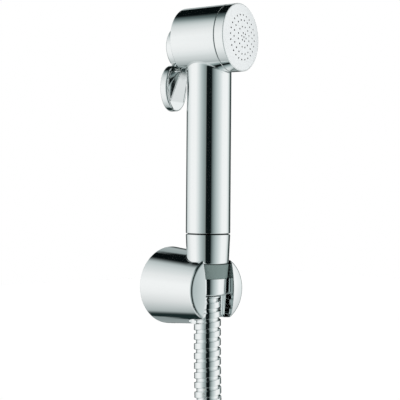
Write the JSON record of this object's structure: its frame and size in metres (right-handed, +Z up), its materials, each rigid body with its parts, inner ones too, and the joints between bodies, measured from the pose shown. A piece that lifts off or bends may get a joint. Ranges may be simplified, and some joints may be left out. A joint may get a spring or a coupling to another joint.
{
  "type": "hand shower set",
  "caption": "Chromed hand shower with a trigger valve, resting in a round wall holder, on a spiral metal hose",
  "frame": {"origin": "centre of the holder's back, on the wall", "axes": "+Y into the wall, +Z up, +X to the right as one faces the wall"},
  "size_m": [0.1897, 0.0762, 0.3957],
  "materials": {
    "chrome": "polished",
    "brass": "machined",
    "steel": "satin",
    "rubber": "matte",
    "grey_plastic": "satin",
    "pale_plastic": "satin",
    "tie_plastic": "satin"
  },
  "bodies": {
    "fixed": {"holder_body": "chrome", "wall_plate": "steel", "set_screw": "steel", "swivel_ring": "grey_plastic", "hose_ferrule": "chrome", "hose_tail": "brass", "swivel_seal": "rubber", "retaining_ring": "steel", "crimp_ring": "steel", "hose_tube": "chrome", "hose_coil": "chrome", "coil_tie_foot": "tie_plastic", "coil_tie_top": "tie_plastic", "hose_end_tube": "chrome", "end_ferrule": "chrome", "end_tail": "brass", "end_crimp_ring": "steel", "end_washer": "rubber"},
    "handset": {"handset_body": "chrome", "valve_cartridge": "pale_plastic", "stem_seal": "rubber", "valve_spring": "steel", "spring_plug": "pale_plastic", "rear_cap": "chrome", "cap_screw_near": "steel", "cap_screw_far": "steel", "trigger_pin": "steel", "face_collar": "chrome", "spray_face": "pale_plastic", "flow_disc": "pale_plastic", "face_seal": "rubber", "hose_nut": "chrome", "inlet_washer": "rubber", "sieve": "steel", "swivel_core": "brass"},
    "lever": {"trigger": "chrome"},
    "valve": {"valve_stem": "brass", "valve_washer": "rubber"},
    "lower_nut": {"end_nut": "chrome"}
  },
  "joints": [
    {"name": "handset_swivel", "type": "hinge", "parent": "fixed", "child": "handset", "pos_m": [0, -0.0324, 0], "axis": [0, 0, 1], "continuous": true},
    {"name": "trigger_hinge", "type": "hinge", "parent": "handset", "child": "lever", "pos_m": [-0.00544, -0.01461, 0.1224], "axis": [-0.9563, -0.2924, 0], "range_deg": [0, 10], "stiffness_Nm_per_rad": 0.06, "springref_deg": -20.05},
    {"name": "valve_slide", "type": "slide", "parent": "handset", "child": "valve", "axis": [0, 0, 1], "range_m": [0, 0.0022], "deforming": ["valve_spring"]},
    {"name": "lower_nut_spin", "type": "hinge", "parent": "fixed", "child": "lower_nut", "pos_m": [0.0006, -0.0642, -0.22], "axis": [0, 0, 1], "continuous": true}
  ],
  "couplings": [
    {"joint": "valve_slide", "follows": "trigger_hinge", "m_per_rad": 0.011}
  ]
}
